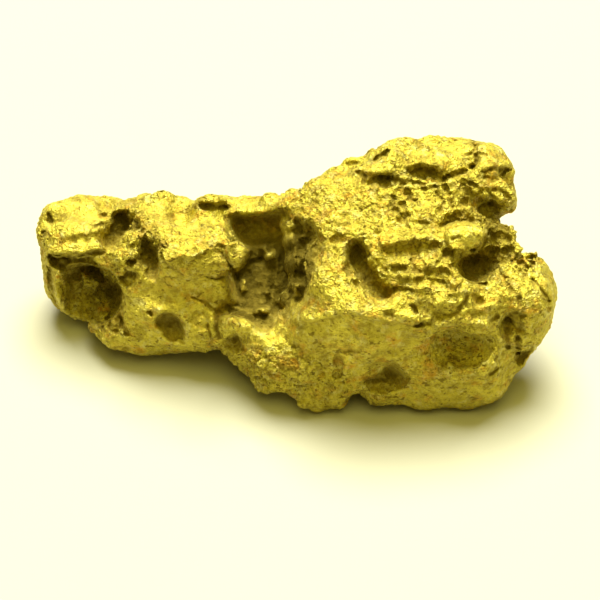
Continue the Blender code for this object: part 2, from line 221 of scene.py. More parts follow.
# Hollows: the sight, the depth in mm, the width of their walls in steps, and the outline.
HOLLOWS = (
    # The scoop in the light end: its shelf, and the deep corners of it.
    (FRONT, 0.5, 4, ((50, 257), (70, 256), (92, 256), (97, 266), (105, 276), (118, 284), (124, 289),
                     (125, 306), (124, 330), (108, 336), (88, 336), (72, 332), (67, 300), (68, 272),
                     (60, 267), (50, 266))),
    (FRONT, 1.0, 3, ((51, 257), (70, 256), (93, 257), (99, 266), (100, 276), (86, 282), (68, 280),
                     (60, 269), (51, 267))),
    (FRONT, 0.9, 4, ((94, 266), (106, 275), (119, 284), (124, 292), (120, 301), (108, 297),
                     (98, 284))),
    (FRONT, 0.6, 4, ((104, 296), (114, 288), (123, 291), (124, 316), (123, 332), (104, 334),
                     (96, 324), (98, 310))),
    # The shaded front of its ledge.
    (FRONT, 0.08, 4, ((74, 235), (104, 233), (107, 238), (104, 250), (86, 252), (64, 252),
                      (68, 244))),
    # The porous pockets behind it.
    (FRONT, 0.8, 3, ((111, 217), (118, 213), (127, 211), (130, 218), (138, 221), (142, 226),
                     (136, 232), (126, 231), (122, 240), (123, 248), (113, 251), (105, 246),
                     (104, 238), (110, 230), (113, 224))),
    (FRONT, 0.8, 3, ((143, 237), (149, 243), (155, 246), (161, 242), (160, 252), (158, 262),
                     (158, 272), (154, 281), (148, 279), (146, 272), (149, 268), (142, 263),
                     (130, 266), (128, 262), (139, 257), (141, 250), (140, 243))),
    (FRONT, 0.6, 3, ((120, 279), (127, 270), (134, 272), (137, 276), (133, 284), (130, 288),
                     (124, 285))),
    (FRONT, 0.4, 2, ((100, 218), (101, 213), (105, 213), (106, 218), (103, 220))),
    # Pits in its smooth front.
    (FRONT, 0.6, 3, ((155, 320), (163, 314), (172, 311), (177, 318), (183, 324), (184, 332),
                      (182, 338), (184, 344), (178, 343), (170, 338), (163, 337), (166, 331),
                      (158, 326))),
    (FRONT, 0.3, 4, ((190, 322), (195, 312), (205, 312), (209, 320), (207, 329), (200, 333),
                     (193, 330))),
    # The dark slit under the bead, and the brow's small pits.
    (FRONT, 0.5, 2, ((198, 206), (205, 203), (215, 206), (222, 203), (231, 203), (228, 209),
                     (215, 210), (204, 210))),
    (FRONT, 0.25, 2, ((192, 250), (196, 247), (199, 251), (195, 254))),
    # The hollow of the neck: the whole of it, the cave under its rim, and the deep places.
    (FRONT, 0.5, 8, ((230, 216), (236, 211), (243, 216), (250, 218), (262, 216), (275, 212),
                     (288, 208), (290, 219), (306, 226), (315, 232), (318, 256), (312, 268),
                     (306, 282), (302, 292), (297, 304), (290, 313), (286, 324), (278, 338),
                     (270, 340), (262, 328), (250, 319), (232, 317), (216, 314), (220, 303),
                     (236, 300), (234, 288), (229, 276), (243, 266), (250, 252), (240, 240),
                     (233, 228))),
    (FRONT, 0.3, 6, ((229, 216), (240, 215), (252, 220), (264, 218), (288, 211), (290, 222),
                     (280, 236), (262, 240), (244, 241), (236, 230))),
    (FRONT, 1.0, 9, ((296, 220), (313, 225), (320, 240), (319, 258), (314, 272), (308, 286),
                     (303, 300), (294, 304), (294, 280), (296, 262), (294, 244), (292, 230))),
    (FRONT, 0.8, 6, ((252, 247), (266, 250), (266, 264), (258, 270), (252, 278), (251, 290),
                     (247, 299), (239, 297), (235, 284), (231, 276), (242, 268), (249, 260))),
    (FRONT, 0.7, 6, ((220, 305), (236, 303), (252, 307), (266, 312), (273, 319), (273, 333),
                     (266, 335), (256, 326), (246, 318), (232, 316))),
    (FRONT, 0.35, 5, ((216, 350), (224, 341), (236, 336), (249, 331), (247, 341), (245, 351),
                      (234, 355), (222, 355))),
    # The bean-shaped pit and the small ones beside it.
    (FRONT, 0.7, 4, ((352, 246), (358, 243), (364, 246), (368, 254), (367, 262), (373, 270),
                     (379, 278), (382, 288), (398, 289), (394, 297), (390, 304), (382, 306),
                     (374, 302), (369, 294), (362, 288), (353, 284), (347, 276), (345, 268),
                     (347, 260), (352, 252))),
    (FRONT, 0.35, 2, ((330, 239), (338, 235), (350, 236), (344, 242), (334, 243))),
    (FRONT, 0.3, 2, ((385, 312), (391, 310), (393, 318), (387, 320))),
    # The shelves between it and the tunnel.
    (FRONT, 0.12, 4, ((368, 262), (384, 258), (404, 264), (411, 272), (404, 288), (384, 288),
                      (374, 272))),
    (FRONT, 0.2, 3, ((382, 252), (396, 246), (413, 242), (438, 243), (445, 251), (430, 256),
                      (414, 253), (402, 256), (388, 257))),
    (FRONT, 0.35, 3, ((440, 252), (450, 249), (455, 255), (445, 259))),
    (FRONT, 0.25, 3, ((431, 282), (446, 284), (453, 290), (444, 293), (434, 290))),
    # The tunnel and the broken ground above it.
    (FRONT, 0.6, 4, ((458, 256), (468, 254), (478, 252), (486, 246), (496, 248), (511, 248),
                     (513, 258), (505, 264), (500, 268), (503, 275), (496, 281), (489, 280),
                     (484, 275), (474, 275), (470, 281), (466, 274), (463, 266), (458, 262))),
    (FRONT, 0.5, 4, ((477, 208), (487, 202), (494, 200), (499, 206), (500, 222), (508, 226),
                     (510, 234), (512, 240), (509, 248), (498, 248), (491, 242), (489, 232),
                     (485, 222), (478, 216))),
    (FRONT, 0.5, 3, ((484, 249), (496, 249), (510, 249), (512, 257), (503, 265), (499, 275),
                     (489, 277), (482, 264))),
    (FRONT, 0.35, 2, ((499, 270), (506, 275), (508, 284), (503, 287), (500, 280))),
    (FRONT, 0.5, 3, ((443, 223), (450, 216), (458, 211), (462, 216), (456, 221), (448, 224))),
    # Slots across the upper lobe.
    (FRONT, 0.6, 3, ((367, 181), (372, 176), (384, 173), (392, 176), (388, 180), (391, 187),
                      (384, 189), (378, 184), (369, 185))),
    (FRONT, 0.55, 3, ((407, 171), (416, 168), (421, 165), (424, 168), (434, 167), (436, 172),
                     (448, 178), (441, 182), (433, 181), (428, 176), (424, 180), (417, 180),
                     (410, 177))),
    (FRONT, 0.4, 2, ((465, 172), (470, 164), (478, 164), (474, 171))),
    (FRONT, 0.4, 2, ((470, 140), (477, 141), (479, 148), (475, 153), (472, 147))),
    (FRONT, 0.3, 2, ((347, 163), (352, 161), (359, 164), (352, 169))),
    # The nose: its pores, its crevice and the notch below.
    (FRONT, 0.4, 2, ((536, 254), (542, 262), (539, 270), (532, 273), (534, 262))),
    (FRONT, 0.25, 3, ((515, 255), (532, 256), (532, 262), (518, 264))),
    (FRONT, 0.35, 2, ((546, 306), (552, 306), (552, 312), (547, 313))),
    (FRONT, 0.45, 3, ((502, 318), (510, 313), (518, 311), (527, 316), (521, 320), (525, 331),
                      (522, 337), (517, 334), (514, 326), (508, 322))),
    (FRONT, 0.6, 3, ((515, 352), (524, 349), (533, 346), (527, 357), (519, 366), (515, 361))),
    (FRONT, 0.3, 2, ((473, 294), (481, 298), (484, 303), (478, 309), (474, 300))),
    # The fissure, the dimple, and the hole in the jaw.
    (FRONT, 0.4, 3, ((422, 326), (432, 318), (434, 309), (440, 312), (448, 315), (456, 311),
                     (462, 303), (467, 293), (471, 297), (465, 307), (458, 314), (448, 320),
                     (436, 323))),
    (FRONT, 0.2, 6, ((431, 340), (436, 332), (446, 327), (460, 325), (478, 327), (490, 332),
                     (496, 340), (498, 352), (496, 361), (490, 369), (478, 373), (462, 374),
                     (450, 371), (440, 364), (433, 352))),
    (FRONT, 0.22, 3, ((432, 337), (446, 327), (468, 325), (490, 331), (497, 342), (488, 350),
                     (470, 355), (450, 352), (436, 346))),
    (FRONT, 0.5, 3, ((365, 383), (372, 377), (384, 375), (389, 364), (394, 361), (400, 366),
                     (404, 374), (411, 379), (404, 385), (396, 389), (384, 391), (369, 390))),
    (FRONT, 0.5, 2, ((365, 379), (376, 377), (388, 378), (386, 389), (368, 390))),
    (FRONT, 0.35, 3, ((334, 357), (341, 353), (344, 365), (341, 375), (331, 377), (335, 367))),
    (FRONT, 0.12, 3, ((413, 349), (420, 346), (424, 358), (421, 365), (415, 360))),
    # The back, the ends and the sides.
    (BACK, 0.6, 4, ((160, 268), (178, 262), (182, 272), (170, 282), (158, 278))),
    (BACK, 0.6, 4, ((240, 310), (252, 304), (258, 318), (250, 330), (241, 324))),
    (BACK, 0.5, 4, ((292, 332), (304, 328), (312, 338), (300, 344))),
    (BACK, 0.4, 3, ((364, 302), (376, 298), (380, 308), (368, 311))),
    (BACK, 0.6, 4, ((398, 340), (412, 334), (420, 346), (408, 356), (399, 350))),
    (BACK, 0.5, 3, ((470, 345), (480, 342), (484, 358), (476, 366), (470, 356))),
    (BACK, 0.4, 3, ((126, 296), (148, 290), (150, 298), (130, 303))),
    (BACK, 0.4, 3, ((184, 252), (204, 246), (216, 250), (200, 256), (186, 257))),
    (LEFT, 0.5, 4, ((254, 344), (266, 340), (272, 352), (262, 362), (254, 356))),
    (LEFT, 0.4, 3, ((212, 318), (224, 314), (228, 324), (216, 330))),
    (RIGHT, 0.4, 3, ((274, 284), (286, 280), (290, 292), (278, 296))),
    (RIGHT, 0.5, 4, ((334, 330), (352, 324), (358, 332), (342, 340))),
)

# Creases: the sight, the depth in mm, the half-width in steps, and the places they run
# through.
CREASES = (
    (FRONT, 0.3, 1.4, ((49, 256), (66, 256), (84, 254), (104, 252))),
    (FRONT, 0.2, 2.0, ((49, 268), (50, 285), (53, 298), (58, 310))),
    (FRONT, 0.2, 1.3, ((97, 321), (103, 330))),
    (FRONT, 0.2, 1.3, ((109, 319), (110, 329), (117, 333))),
    (FRONT, 0.25, 1.6, ((121, 318), (123, 326), (127, 334))),
    (FRONT, 0.25, 1.8, ((217, 318), (216, 328), (219, 338))),
    (FRONT, 0.2, 1.2, ((207, 325), (210, 336))),
    (FRONT, 0.15, 1.2, ((192, 298), (204, 302), (213, 309), (222, 313))),
    (FRONT, 0.2, 1.3, ((208, 277), (216, 279), (223, 276))),
    (FRONT, 0.3, 2.0, ((223, 254), (230, 264), (234, 274))),
    (FRONT, 0.2, 1.5, ((203, 193), (203, 198))),
    (FRONT, 0.25, 1.4, ((217, 190), (217, 200))),
    (FRONT, 0.15, 1.2, ((96, 226), (103, 224))),
    (FRONT, 0.15, 1.4, ((212, 246), (221, 246))),
    (FRONT, 0.3, 1.8, ((356, 172), (366, 176), (363, 182))),
    (FRONT, 0.25, 1.4, ((388, 178), (404, 182), (414, 183), (423, 184))),
    (FRONT, 0.3, 1.5, ((446, 178), (455, 173), (466, 172))),
    (FRONT, 0.15, 1.0, ((465, 154), (476, 154), (486, 155))),
    (FRONT, 0.35, 1.8, ((473, 140), (475, 150), (478, 160), (472, 168))),
    (FRONT, 0.18, 1.2, ((483, 172), (494, 168), (501, 171), (511, 169))),
    (FRONT, 0.25, 1.5, ((484, 177), (494, 181), (502, 176), (506, 170))),
    (FRONT, 0.15, 1.2, ((458, 175), (462, 184), (466, 190))),
    (FRONT, 0.18, 1.6, ((461, 189), (470, 194), (474, 200), (481, 204))),
    (FRONT, 0.2, 1.6, ((467, 200), (461, 208), (463, 216), (472, 219), (481, 217))),
    (FRONT, 0.15, 1.4, ((480, 192), (488, 189), (492, 196), (490, 204))),
    (FRONT, 0.2, 1.3, ((488, 190), (500, 190), (509, 197))),
    (FRONT, 0.35, 2.0, ((376, 159), (387, 152))),
    (FRONT, 0.15, 1.1, ((423, 189), (437, 187))),
    (FRONT, 0.12, 1.0, ((449, 143), (457, 142))),
    (FRONT, 0.25, 1.6, ((408, 191), (411, 201), (416, 200))),
    (FRONT, 0.25, 1.8, ((403, 205), (406, 217), (401, 220))),
    (FRONT, 0.2, 1.3, ((393, 196), (395, 212))),
    (FRONT, 0.15, 1.1, ((445, 185), (449, 196), (452, 207))),
    (FRONT, 0.15, 1.3, ((420, 223), (428, 223))),
    (FRONT, 0.15, 1.3, ((453, 239), (458, 237))),
    (FRONT, 0.25, 1.5, ((443, 226), (456, 221), (472, 219), (484, 222), (488, 232), (484, 244),
                        (474, 251))),
    (FRONT, 0.2, 1.3, ((521, 262), (528, 268), (524, 276))),
    (FRONT, 0.15, 1.1, ((508, 286), (518, 296), (520, 306))),
    (FRONT, 0.15, 1.1, ((452, 186), (462, 180), (476, 186), (480, 192))),
    (FRONT, 0.15, 1.1, ((436, 192), (444, 202), (440, 212))),
    (FRONT, 0.35, 2.0, ((521, 239), (528, 247), (533, 256), (531, 268))),
    (FRONT, 0.22, 1.3, ((532, 279), (539, 288), (544, 293))),
    (FRONT, 0.2, 1.2, ((545, 294), (549, 301))),
    (FRONT, 0.35, 1.8, ((472, 280), (479, 284), (485, 284))),
    (FRONT, 0.14, 1.2, ((416, 254), (411, 263), (418, 271), (416, 286))),
    (FRONT, 0.12, 1.1, ((419, 278), (432, 280), (444, 283))),
    (FRONT, 0.12, 1.0, ((394, 266), (405, 268))),
    (FRONT, 0.1, 1.1, ((438, 262), (452, 266))),
    (FRONT, 0.1, 1.0, ((397, 288), (413, 290))),
    (FRONT, 0.25, 1.6, ((417, 326), (422, 324))),
    (FRONT, 0.25, 2.0, ((413, 307), (416, 313))),
    (FRONT, 0.25, 1.8, ((493, 319), (497, 317))),
    (FRONT, 0.2, 1.3, ((506, 330), (508, 348))),
    (FRONT, 0.35, 2.2, ((517, 338), (518, 353))),
    (FRONT, 0.14, 1.1, ((491, 373), (500, 367))),
    (FRONT, 0.12, 1.4, ((345, 352), (352, 350), (359, 352))),
    (FRONT, 0.3, 2.0, ((49, 216), (51, 220))),
    (FRONT, 0.3, 2.0, ((42, 236), (45, 234))),
    (FRONT, 0.2, 1.8, ((127, 349), (127, 352))),
    (FRONT, 0.2, 1.6, ((150, 312), (151, 316))),
    (FRONT, 0.2, 1.5, ((162, 193), (163, 197))),
    (FRONT, 0.1, 1.2, ((293, 244), (289, 262), (286, 280), (280, 300))),
    (FRONT, 0.12, 1.2, ((302, 240), (298, 258), (296, 276), (289, 298))),
    (FRONT, 0.1, 1.1, ((285, 238), (281, 256), (278, 274))),
    (FRONT, 0.1, 1.2, ((310, 240), (306, 258), (300, 278))),
    (FRONT, 0.12, 1.2, ((275, 262), (273, 282), (268, 304))),
    (FRONT, 0.12, 1.1, ((76, 296), (82, 304), (80, 316))),
    (FRONT, 0.12, 1.1, ((90, 296), (97, 304), (96, 318))),
    (BACK, 0.22, 2.2, ((157, 296), (180, 288), (200, 295), (217, 286))),
    (BACK, 0.18, 1.6, ((348, 319), (367, 328), (390, 324))),
    (BACK, 0.22, 2.2, ((420, 262), (440, 272), (452, 290), (470, 296))),
    (BACK, 0.2, 1.8, ((290, 262), (300, 280), (296, 300))),
    (LEFT, 0.22, 2.0, ((270, 300), (290, 306), (300, 320))),
    (RIGHT, 0.22, 2.0, ((280, 330), (300, 322), (318, 328))),
)

# What stands up again: the sight, the height in mm, the width of its sides in steps, and
# the outline.
SWELLS = (
    (FRONT, 0.4, 3, ((56, 270), (66, 270), (70, 285), (70, 304), (66, 314), (58, 306), (55, 294),
                     (54, 280))),
    (FRONT, 0.5, 5, ((80, 270), (92, 274), (100, 284), (98, 292), (84, 288), (79, 280))),
    (FRONT, 0.35, 5, ((98, 300), (110, 298), (114, 310), (106, 320), (96, 314))),
    (FRONT, 0.25, 4, ((124, 234), (132, 230), (141, 234), (138, 242), (128, 246))),
    (FRONT, 0.3, 4, ((218, 318), (232, 317), (240, 324), (236, 334), (224, 338))),
    (FRONT, 0.25, 4, ((224, 300), (238, 306), (256, 309), (272, 307), (270, 312), (254, 315),
                      (234, 310))),
    (FRONT, 0.35, 4, ((262, 250), (276, 250), (276, 258), (264, 260))),
    (FRONT, 0.35, 5, ((226, 244), (238, 240), (248, 248), (246, 260), (236, 268), (226, 260))),
    (FRONT, 0.22, 4, ((444, 359), (460, 367), (476, 366), (489, 357), (496, 346), (501, 350),
                      (498, 366), (484, 376), (466, 378), (450, 372))),
    (FRONT, 0.45, 3, ((293, 284), (298, 284), (299, 296), (294, 297))),
    (FRONT, 0.3, 3, ((240, 280), (245, 279), (248, 290), (243, 293))),
    (FRONT, 0.12, 4, ((350, 264), (362, 260), (364, 274), (360, 282), (351, 278))),
    (FRONT, 0.4, 3, ((446, 226), (456, 222), (472, 222), (483, 226), (486, 236), (481, 246),
                     (468, 251), (452, 250), (445, 240))),
    (FRONT, 0.25, 3, ((468, 206), (476, 206), (479, 213), (470, 216))),
    (FRONT, 0.2, 4, ((422, 258), (438, 256), (436, 266), (424, 268))),
    (FRONT, 0.2, 4, ((388, 260), (404, 259), (404, 265), (390, 266))),
    (FRONT, 0.2, 4, ((396, 270), (410, 268), (412, 276), (400, 278))),
    (FRONT, 0.2, 4, ((448, 268), (460, 266), (466, 280), (456, 288), (446, 280))),
    (FRONT, 0.2, 3, ((433, 296), (442, 300), (440, 308), (431, 306))),
)

# Ledges that jut out over a line of the front: the height in mm, how far up they reach in
# steps, and the places along their lip.
LEDGES = (
    (0.3, 24, ((160, 251), (168, 261), (180, 257), (192, 257), (206, 251), (216, 246), (236, 243))),
    (0.08, 16, ((60, 237), (75, 234), (90, 233), (105, 232))),
    (0.2, 12, ((48, 254), (66, 253), (84, 252), (104, 250))),
    (0.3, 28, ((290, 324), (300, 320), (314, 321), (328, 316), (346, 313), (364, 317), (386, 321),
               (402, 322), (420, 324))),
    (0.25, 14, ((380, 245), (398, 242), (414, 239), (430, 241), (442, 244))),
    (0.2, 9, ((384, 266), (400, 266), (412, 263))),
    (0.2, 8, ((395, 277), (412, 278), (424, 276))),
    (0.2, 9, ((420, 269), (436, 268), (452, 266))),
    (0.15, 10, ((400, 287), (425, 289), (450, 293), (470, 291))),
    (0.15, 8, ((400, 318), (412, 318), (419, 323))),
    (0.2, 10, ((352, 173), (372, 173), (392, 173))),
    (0.2, 12, ((406, 166), (424, 165), (436, 167), (448, 172), (465, 171))),
    (0.2, 8, ((480, 171), (494, 167), (510, 169))),
    (0.15, 10, ((198, 202), (214, 203), (230, 202))),
    (0.15, 8, ((206, 277), (216, 278), (223, 275))),
    (0.3, 12, ((232, 212), (246, 216), (262, 215), (276, 211), (289, 207))),
    (0.15, 8, ((470, 312), (484, 309), (500, 306))),
    (0.2, 9, ((432, 328), (450, 324), (470, 323), (490, 329))),
    (0.15, 10, ((156, 313), (166, 311), (178, 314))),
    (0.2, 10, ((366, 376), (380, 373), (392, 360), (402, 368))),
)


def inside_by(places, outline):
    """How far inside the outline each place is, in steps; outside it is below zero."""
    ends = np.array(outline, dtype=float)
    nearest = np.full(len(places), np.inf)
    crossings = np.zeros(len(places), dtype=bool)
    for start, end in zip(ends, np.roll(ends, -1, axis=0)):
        nearest = np.minimum(nearest, distance_to(places, start, end))
        spans = (start[1] > places[:, 1]) != (end[1] > places[:, 1])
        rise = end[1] - start[1] if end[1] != start[1] else 1.0
        crossed = start[0] + (places[:, 1] - start[1]) * (end[0] - start[0]) / rise
        crossings ^= spans & (places[:, 0] < crossed)
    return np.where(crossings, nearest, -nearest)


def distance_to(places, start, end):
    """How far each place is from the line between two places."""
    run = end - start
    along = np.clip((places - start) @ run / max(run @ run, 1e-9), 0.0, 1.0)
    return np.linalg.norm(places - start - along[:, None] * run, axis=1)


def eased(value):
    """0 to 1 with soft ends."""
    held = np.clip(value, 0.0, 1.0)
    return held * held * (3.0 - 2.0 * held)


# A hollow is dug to three quarters of its depth, and to half of that at its lower edge,
# where the light falls in. No wall is narrower than 1.2 steps.
DUG_SHARE = 0.75
LESS_BELOW = 0.5
NARROWEST = 1.2


def dug(places, wander, sight, crisp=1.0):
    """How deep the hollows of one sight go at each place, in mm, less what stands up."""
    places = places + wander
    depth = np.zeros(len(places))
    for seen_from, deep, wall, outline in HOLLOWS:
        if seen_from == sight:
            top = min(down for _, down in outline)
            low = max(down for _, down in outline)
            rest = 1.0 - LESS_BELOW * np.clip((places[:, 1] - top) / (low - top), 0.0, 1.0)
            wall = max(wall * crisp, NARROWEST)
            floor_share = eased(0.5 + inside_by(places, outline) / wall)
            depth = np.maximum(depth, DUG_SHARE * deep * rest * floor_share)
    for seen_from, high, side, outline in SWELLS:
        if seen_from == sight:
            side = max(side * crisp, NARROWEST)
            depth -= high * eased(0.4 + inside_by(places, outline) / side)
    # A ledge thins away upwards, and drops off within 2 steps under its lip.
    for high, reach, lip in LEDGES if sight == FRONT else ():
        ends = np.array(lip, dtype=float)
        above = np.interp(places[:, 0], ends[:, 0], ends[:, 1]) - places[:, 1]
        from_ends = np.minimum(places[:, 0] - ends[0, 0], ends[-1, 0] - places[:, 0])
        rise = np.where(above > 0, 1.0 - above / reach, 1.0 + above / 2.0)
        depth -= high * np.clip(rise, 0.0, 1.0) * eased(0.5 + from_ends / 5.0)
    return depth


def creased(places, wander, sight):
    """How deep the creases of one sight go at each place, in mm."""
    places = places + 0.4 * wander
    depth = np.zeros(len(places))
    for seen_from, deep, half, line in CREASES:
        if seen_from == sight:
            near = np.full(len(places), np.inf)
            for start, end in zip(line, line[1:]):
                near = np.minimum(near, distance_to(places, np.array(start), np.array(end)))
            # It opens and closes along its way, and is never under half a step wide.
            width = half * np.clip(1.0 + 0.4 * wander[:, 0], 0.3, 1.6) + 0.5
            depth = np.maximum(depth, deep * eased(1.5 - near / width))
    return depth


# Without a seed, the noise vectors below take their offsets from the clock.
noise.seed_set(22)

# A point is seen unless its skin is nearly edge on to the eye or hidden by more of the
# skin. Outlines are made ragged by a coarse and a fine wander: the size of each in mm, and
# how far it shifts a place, in steps.
EDGE_ON = 0.08
CLEAR_OF_SKIN = 0.03
COARSE_WANDER = 0.6
COARSE_SHIFT = 2.0
FINE_WANDER = 0.24
FINE_SHIFT = 2.4


def view_of(made, sight):
    """The points that the eye sees: which, where, how raggedly shifted, how squarely."""
    skin = BVHTree.FromObject(made, bpy.context.evaluated_depsgraph_get())
    eye = MIDDLE + sight_axes(sight)[2] * EYE_DISTANCE
    which, places, wanders, facings = [], [], [], []
    for vert in made.data.vertices:
        towards = (eye - vert.co).normalized()
        facing = vert.normal.dot(towards)
        start = vert.co + CLEAR_OF_SKIN * vert.normal
        if facing > EDGE_ON and skin.ray_cast(start, towards)[0] is None:
            wander = noise.noise_vector(vert.co / COARSE_WANDER) * COARSE_SHIFT
            wander = wander + noise.noise_vector(vert.co / FINE_WANDER) * FINE_SHIFT
            which.append(vert.index)
            places.append(place_seen(vert.co, sight))
            wanders.append((wander.x, wander.y))
            facings.append(facing)
    return np.array(which), np.array(places), np.array(wanders), np.array(facings)


def pushed_in(made, sight, depth_at):
    """Pushes what one eye sees away from it, along its own sight lines."""
    eye = MIDDLE + sight_axes(sight)[2] * EYE_DISTANCE
    which, places, wander, facings = view_of(made, sight)
    # Less where the skin slants away from the eye, and unevenly where it goes in.
    depths = depth_at(places, wander, sight) * np.clip(2.5 * facings, 0.0, 1.0)
    for index, depth in zip(which.tolist(), depths.tolist()):
        vert = made.data.vertices[index]
        uneven = 1.0 + 0.6 * noise.noise(vert.co / 0.4) + 0.6 * noise.noise(vert.co / 0.2)
        vert.co -= (eye - vert.co).normalized() * depth * (uneven if depth > 0.0 else 1.0)
    made.data.update()


for sight in SIGHTS:
    pushed_in(body, sight, dug)
add_skin(body, LAST_GRAIN, 1)
baked(body)


def keep_largest(made):
    """Removes the crumbs that the pushing in has cut loose."""
    loose = bmesh.new()
    loose.from_mesh(made.data)
    groups = []
    unseen = set(loose.verts)
    while unseen:
        group = []
        edge_of_group = [unseen.pop()]
        while edge_of_group:
            vert = edge_of_group.pop()
            group.append(vert)
            for edge in vert.link_edges:
                other = edge.other_vert(vert)
                if other in unseen:
                    unseen.remove(other)
                    edge_of_group.append(other)
        groups.append(group)
    groups.sort(key=len)
    for group in groups[:-1]:
        bmesh.ops.delete(loose, geom=group, context="VERTS")
    loose.to_mesh(made.data)
    loose.free()


keep_largest(body)

# How rough the skin is on the front: the place, the half-sizes, and what is added there,
# in full over its middle half and fading out at its edge.
PATCHES = (
    ((430, 198), (62, 38), 0.35),
    ((490, 184), (38, 40), 0.3),
    ((505, 248), (43, 33), 0.6),
    ((95, 292), (34, 34), 0.4),
    ((365, 272), (20, 30), 0.4),
    ((350, 215), (70, 34), 0.45),
    ((420, 270), (62, 30), 0.5),
    ((133, 245), (38, 40), 0.6),
    ((270, 275), (44, 60), -0.3),
    ((174, 310), (45, 36), -0.6),
    ((350, 348), (80, 32), -0.5),
    ((170, 214), (60, 20), -0.2),
    ((70, 220), (36, 26), -0.2),
    ((285, 375), (66, 36), 0.6),
    ((120, 330), (40, 12), 0.4),
    ((460, 392), (60, 20), -0.2),
    ((465, 236), (22, 15), -0.8),
)


def roughness_of(points, places_seen):
    """From 0, worn smooth, to 1, ragged, at each point; places_seen are its front places."""
    amounts = np.array([0.42 + 0.5 * noise.noise(point / 2.6) for point in points])
    which, places = places_seen
    for centre, half, added in PATCHES:
        reach = (((places - centre) / half) ** 2).sum(axis=1)
        amounts[which] += added * np.clip(1.3 - reach, 0.0, 1.0)
    return np.clip(amounts, 0.08, 1.0)


def worn_relief(point, rough):
    """The height of the fine relief: cracks between plates, pocks and grain."""
    # Each part is a height in mm, before a noise whose patches are as wide as its divisor.
    swell = 0.04 * noise.noise(point / 1.3)
    bent = point + 0.16 * noise.noise_vector(point / 0.45)
    nearest, second = noise.voronoi(bent / 0.6)[0][:2]
    crack = -0.12 * max(0.0, 1.0 - (second - nearest) / 0.2)
    nearest, second = noise.voronoi(bent / 0.33)[0][:2]
    crack -= 0.05 * max(0.0, 1.0 - (second - nearest) / 0.25)
    pock = -0.3 * max(0.0, noise.noise(point / 0.3 + Vector((9, 3, 5))) - 0.32)
    grain = 0.04 * noise.noise(point / 0.3) + 0.09 * noise.noise(point / 0.14)
    return swell + rough * rough * crack + rough * pock + (0.35 + 0.8 * rough) * grain


# How wide the hollows' walls are the second time, as a share of the first.
CRISP = 0.4


def sharpened(places, wander, sight):
    """The last push: the hollows' edges again, and the creases."""
    return 0.3 * dug(places, wander, sight, CRISP) + creased(places, wander, sight)


for sight in SIGHTS:
    pushed_in(body, sight, sharpened)
rough = roughness_of([vert.co for vert in body.data.vertices], view_of(body, FRONT)[:2])
normals = [vert.normal.copy() for vert in body.data.vertices]
for vert, normal, amount in zip(body.data.vertices, normals, rough.tolist()):
    vert.co += normal * worn_relief(vert.co, amount)
    vert.co.z = max(vert.co.z, 0.0)
thinner = body.modifiers.new("thinner", "DECIMATE")
triangles = sum(len(face.vertices) - 2 for face in body.data.polygons)
thinner.ratio = min(1.0, MOST_TRIANGLES / triangles)
baked(body)

# Where the skin is painted darker, or lighter: partly clay stains, partly painted shade on
# places that lie in shade, as the neck's valley, and painted light on lit places, as the
# dimple and the lumps in the scoop. The place, the half-sizes, and how much, in full over
# its middle half and fading out at its edge.
STAINS_SHADE_AND_LIGHT = (
    ((272, 282), (46, 50), 1.0),
    ((302, 256), (18, 34), 0.5),
    ((240, 312), (30, 14), 0.4),
    ((234, 345), (18, 12), 0.4),
    ((95, 300), (30, 30), 0.2),
    ((466, 352), (36, 24), -0.6),
    ((482, 192), (36, 26), -0.6),
    ((498, 226), (15, 22), 0.5),
    ((88, 284), (22, 20), -0.6),
    ((88, 310), (32, 16), -0.6),
    ((110, 214), (90, 26), 0.55),
    ((260, 226), (36, 14), -0.4),
    ((340, 232), (50, 60), -0.15),
    ((44, 262), (9, 40), 0.4),
    ((388, 380), (24, 12), 0.3),
    ((350, 348), (84, 36), 0.12),
    ((174, 305), (50, 42), 0.08),
    ((90, 243), (22, 12), 0.15),
)

# Values on each point, for the grime, the painted shade and the shine: how shut in it is,
# how sharply it stands out of its neighbours, how ragged it is, and how deep in a hollow,
# with the stains, painted shade and painted light added. How shut in it is is felt out with
# 14 rays, each 2.2 mm long, that start just clear of the skin; shut-in places are painted
# darker, as painted shade.
RAYS = 14
REACH = 2.2
RAY_START = 0.04
GOLDEN_ANGLE = math.pi * (3.0 - math.sqrt(5.0))
skin = BVHTree.FromObject(body, bpy.context.evaluated_depsgraph_get())
directions = []
for i in range(RAYS):
    height = (i + 0.5) / RAYS
    ring = math.sqrt(1.0 - height * height)
    turn = GOLDEN_ANGLE * i
    directions.append(Vector((ring * math.cos(turn), ring * math.sin(turn), height)))


def shut_in(point, normal):
    """From 0, open all round, to 1, closed in."""
    turn = Vector((0, 0, 1)).rotation_difference(normal)
    start = point + normal * RAY_START
    blocked = 0.0
    total = 0.0
    for direction in directions:
        distance = skin.ray_cast(start, turn @ direction, REACH)[3]
        weight = direction.z
        total += weight
        if distance is not None:
            blocked += weight * (1.0 - 0.6 * distance / REACH)
    return blocked / total


